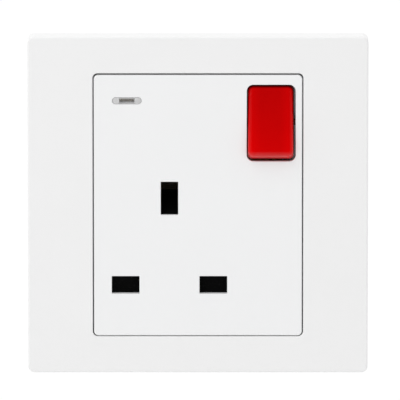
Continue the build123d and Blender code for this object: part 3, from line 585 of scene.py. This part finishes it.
def heads_of(node, shoulder):
    """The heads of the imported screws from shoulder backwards, closed where they are cut."""
    made = bmesh.new()
    made.from_mesh(nodes[node].data)
    bmesh.ops.remove_doubles(made, verts=made.verts, dist=same_place)
    bmesh.ops.bisect_plane(
        made,
        geom=made.verts[:] + made.edges[:] + made.faces[:],
        dist=on_the_cut,
        plane_co=(0, shoulder, 0),
        plane_no=(0, 1, 0),
        clear_inner=True,
    )
    bmesh.ops.holes_fill(made, edges=[edge for edge in made.edges if edge.is_boundary], sides=0)
    return made


def core(made, root, crest, tip, shoulder):
    """Turns a plain shank along Y, with a short taper at its tip, and returns the taper's length."""
    taper = (crest - root) * 2
    profile = [(0, tip), (root - taper, tip), (root, tip + taper), (root, shoulder), (0, shoulder)]
    points = [made.verts.new((radius, y, 0)) for radius, y in profile]
    line = [made.edges.new(pair) for pair in zip(points, points[1:])]
    bmesh.ops.spin(
        made, geom=points + line, axis=(0, 1, 0), angle=math.tau, steps=steps_a_turn, use_merge=True
    )
    return taper


def threaded(made, x, z, root, crest, tip, shoulder, pitch):
    """Adds a core and its thread along Y at that place."""
    before = set(made.verts)
    start = tip + core(made, root, crest, tip, shoulder) + pitch / 2
    turns = math.floor((shoulder - pitch / 2 - start) / pitch)
    inside = root * foot_depth
    foot = [(inside, start - pitch * foot_reach), (crest, start), (inside, start + pitch * foot_reach)]
    corners = [made.verts.new((radius, y, 0)) for radius, y in foot]
    ring = [made.edges.new((corners[i], corners[(i + 1) % 3])) for i in range(3)]
    spun = bmesh.ops.spin(
        made,
        geom=corners + ring,
        axis=(0, 1, 0),
        dvec=(0, pitch / steps_a_turn, 0),
        angle=turns * math.tau,
        steps=turns * steps_a_turn,
    )
    last = [item for item in spun["geom_last"] if isinstance(item, bmesh.types.BMVert)]
    for ending in (corners, last):
        peak = max(ending, key=lambda vert: math.hypot(vert.co.x, vert.co.z))
        bmesh.ops.scale(made, verts=[peak], vec=(inside / crest, 1, inside / crest))
    added = [vert for vert in made.verts if vert not in before]
    bmesh.ops.remove_doubles(made, verts=added, dist=same_place)
    bmesh.ops.holes_fill(made, edges=[edge for edge in made.edges if edge.is_boundary], sides=0)
    added = [vert for vert in made.verts if vert not in before]
    bmesh.ops.translate(made, verts=added, vec=(x, 0, z))


# %% [markdown]
# ## The two groups of screws
# Three screws clamp the wires in the terminal blocks and have a fine thread. Four longer ones with a
# coarser thread hold housing, yoke and cover together. Each group is one piece, as it is one solid node.

# %% Screws of the terminals and of the housing
terminal_cut = 0.01692
terminal_height = 0.0185
terminal_places = (-0.0195, -0.0064, 0.0051)
terminal_thread = {"root": 0.00145, "crest": 0.00172, "tip": 0.0139, "shoulder": 0.0170, "pitch": 0.0005}
made = heads_of("terminal_screws", terminal_cut)
for x in terminal_places:
    threaded(made, x, terminal_height, **terminal_thread)
bmesh.ops.recalc_face_normals(made, faces=made.faces)
piece("terminal_screws_threaded", made, zinc_screw, "housing", "terminal_screws")

assembly_cut = 0.00302
assembly_places = ((0.0195, -0.025), (-0.017, -0.006), (-0.00065, 0.0264), (0.0195, 0.0042))
assembly_thread = {"root": 0.00095, "crest": 0.00125, "tip": -0.0032, "shoulder": 0.0031, "pitch": 0.0010}
made = heads_of("assembly_screws", assembly_cut)
for x, z in assembly_places:
    threaded(made, x, z, **assembly_thread)
bmesh.ops.recalc_face_normals(made, faces=made.faces)
piece("assembly_screws_threaded", made, zinc_screw, "housing", "assembly_screws")

# %% [markdown]
# ## Neon lamp
# The solid lamp is a plain rod of glass. The real one is a thin bulb with a rounded nose and two rod
# electrodes side by side in the gas. A cylinder whose rims are bevelled, wide at the nose and narrow at
# the seal, makes the bulb, and a Solidify modifier gives it its wall.

# %% Blow the lamp
on_the_rim = 1e-6
low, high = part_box("neon_lamp")
centre = middle_of("neon_lamp")
radius = (high.z - low.z) / 2
length = high.x - low.x
along_x = Matrix.Rotation(math.radians(90), 4, "Y")


def rim(mesh, x):
    """Edges of the mesh that lie at that place along X."""
    return [edge for edge in mesh.edges if all(abs(vert.co.x - x) < on_the_rim for vert in edge.verts)]


made = bmesh.new()
bmesh.ops.create_cone(
    made,
    cap_ends=True,
    segments=32,
    radius1=radius,
    radius2=radius,
    depth=length,
    matrix=Matrix.Translation(centre) @ along_x,
)
nose = (rim(made, low.x), radius * 0.9, 8)
seal = (rim(made, high.x), radius * 0.25, 3)
for edges, width, segments in (nose, seal):
    bmesh.ops.bevel(
        made, geom=edges, offset=width, segments=segments, profile=0.5, affect="EDGES", material=-1
    )
bulb = piece("neon_bulb", made, lamp_glass, "housing", "neon_lamp", sharp=50.0)
wall = bulb.modifiers.new("wall", "SOLIDIFY")
wall.thickness = 0.00025
wall.offset = -1.0

# %% [markdown]
# ## Electrodes
# The two rods lie in line with the wires that leave the seal, nearer to the seal than to the nose. Their
# ends are bevelled a little.

# %% Electrodes
rod_radius = 0.00032
rod_length = length * 0.6
rod_offset = 0.0006
rod_shift = 0.0008
rod_bevel = 0.0001
made = bmesh.new()
for side in (-1, 1):
    place = Matrix.Translation((centre.x + rod_shift, centre.y + side * rod_offset, centre.z))
    bmesh.ops.create_cone(
        made,
        cap_ends=True,
        segments=16,
        radius1=rod_radius,
        radius2=rod_radius,
        depth=rod_length,
        matrix=place @ along_x,
    )
ends = [edge for edge in made.edges if len({round(vert.co.x, 6) for vert in edge.verts}) == 1]
bmesh.ops.bevel(made, geom=ends, offset=rod_bevel, segments=2, profile=0.5, affect="EDGES", material=-1)
piece("lamp_electrodes", made, tinned_wire, "housing")

# %% [markdown]
# ## Floor
# The photograph has a pure white ground with no shadow in view. The socket hangs in its own frame, as if
# on a wall, so a floor lies a little way below it. The floor shows itself white to the camera and in
# reflections, and keeps a share of ordinary diffuse shading, so the shadow of the socket stays on it.

# %% Floor
floor_reach = 4.0
floor_level = -0.1
white_share = 0.86
white_strength = 1.03

floor_mesh = bmesh.new()
bmesh.ops.create_grid(floor_mesh, x_segments=1, y_segments=1, size=floor_reach)
bmesh.ops.translate(floor_mesh, verts=floor_mesh.verts, vec=(0.0, 0.0, floor_level))
floor_data = bpy.data.meshes.new("floor")
floor_mesh.to_mesh(floor_data)
floor_mesh.free()
floor = bpy.data.objects.new("floor", floor_data)
bpy.context.scene.collection.objects.link(floor)


def seen_rays(finish):
    """1 for rays of the camera, of reflections and through glass, and 0 for rays that light other things."""
    camera = finish.node("ShaderNodeLightPath", output="Is Camera Ray")
    mirror = finish.node("ShaderNodeLightPath", output="Is Glossy Ray")
    glass = finish.node("ShaderNodeLightPath", output="Is Transmission Ray")
    return camera.math("MAXIMUM", camera.math("MAXIMUM", camera, mirror), glass)


finish = new_finish("floor_paper")
paper = finish.node("ShaderNodeBsdfDiffuse", inputs={"Color": grey(0.9)})
white = finish.node("ShaderNodeEmission", inputs={"Color": grey(1.0), "Strength": white_strength})
share = seen_rays(finish) * white_share
shown = finish.node("ShaderNodeMixShader", inputs={0: share, 1: paper, 2: white})
finish.node("ShaderNodeOutputMaterial", inputs={"Surface": shown})
floor_data.materials.append(finish.owner)
print("floor at", floor_level, "m")

# %% [markdown]
# ## World
# The world shows itself white to the same rays. To everything else it is an even, soft light, with a
# little less of it from straight in front and a little more from above, so that the walls of the plate
# stand out from its face.

# %% World
even_light = 0.9
front_loss = 0.38
top_gain = 0.12
shown_white = 1.02

world = bpy.data.worlds.new("studio")
bpy.context.scene.world = world
room = Graph(world)
towards = room.node("ShaderNodeTexCoord", output="Generated")
depth = room.node("ShaderNodeSeparateXYZ", inputs={0: towards}, output="Y")
height = room.node("ShaderNodeSeparateXYZ", inputs={0: towards}, output="Z")
frontal = depth.math("MAXIMUM", 0.0 - depth, 0.0)
lit = even_light - frontal * frontal * front_loss + height * top_gain
seen = seen_rays(room)
level = seen * shown_white + (1.0 - seen) * lit
ground = room.node("ShaderNodeBackground", inputs={"Color": grey(1.0), "Strength": level})
room.node("ShaderNodeOutputWorld", inputs={"Surface": ground})
print("world:", world.name)

# %% [markdown]
# ## Light
# The plate's top wall is brighter than its face and the shade under the rocker is soft, so the main
# light is large and comes from above and a little to the left. A weaker one in front keeps the face from
# falling off, and together they bring the white plastic to the grey that the photograph shows.

# %% Lamps


def lamp(name, place, size, power):
    """A square soft light that looks at the socket."""
    data = bpy.data.lights.new(name, "AREA")
    data.size = size
    data.energy = power
    made = bpy.data.objects.new(name, data)
    bpy.context.scene.collection.objects.link(made)
    made.location = place
    made.rotation_mode = "QUATERNION"
    made.rotation_quaternion = (-Vector(place)).to_track_quat("-Z", "Y")
    return made


key = lamp("key", place=(-0.5, -0.6, 1.1), size=0.8, power=4.0)
fill = lamp("fill", place=(-0.6, -1.3, -0.02), size=0.7, power=2.0)
print("lamps:", [light.name for light in (key, fill)])

# %% [markdown]
# ## Camera
# The photograph is taken from straight in front and slightly above, through a long lens: the top edge
# of the plate is hardly wider than the bottom one. The aim is a little right of and above the middle,
# because the socket sits that much off the picture's centre.

# %% Camera
elevation = math.radians(9.3)
distance = 2.3
pixels_a_metre = 3957.0
picture_width = 400
aim = Vector((0.00052, -0.0065, 0.00134))
lens_data = bpy.data.cameras.new("camera")
lens_data.sensor_width = 36.0
lens_data.lens = pixels_a_metre * distance * lens_data.sensor_width / picture_width
lens_data.clip_start = 0.1
lens_data.clip_end = 20.0
camera = bpy.data.objects.new("camera", lens_data)
bpy.context.scene.collection.objects.link(camera)
back = Vector((0.0, -math.cos(elevation), math.sin(elevation)))
camera.location = aim + back * distance
camera.rotation_mode = "QUATERNION"
camera.rotation_quaternion = (-back).to_track_quat("-Z", "Y")
bpy.context.scene.camera = camera
print("camera lens", round(lens_data.lens), "mm at", distance, "m")

# %% [markdown]
# ## View
# The picture is shown with the plain Standard view, so a colour comes out about as it is written.

# %% Finish
bpy.context.scene.view_settings.view_transform = "Standard"
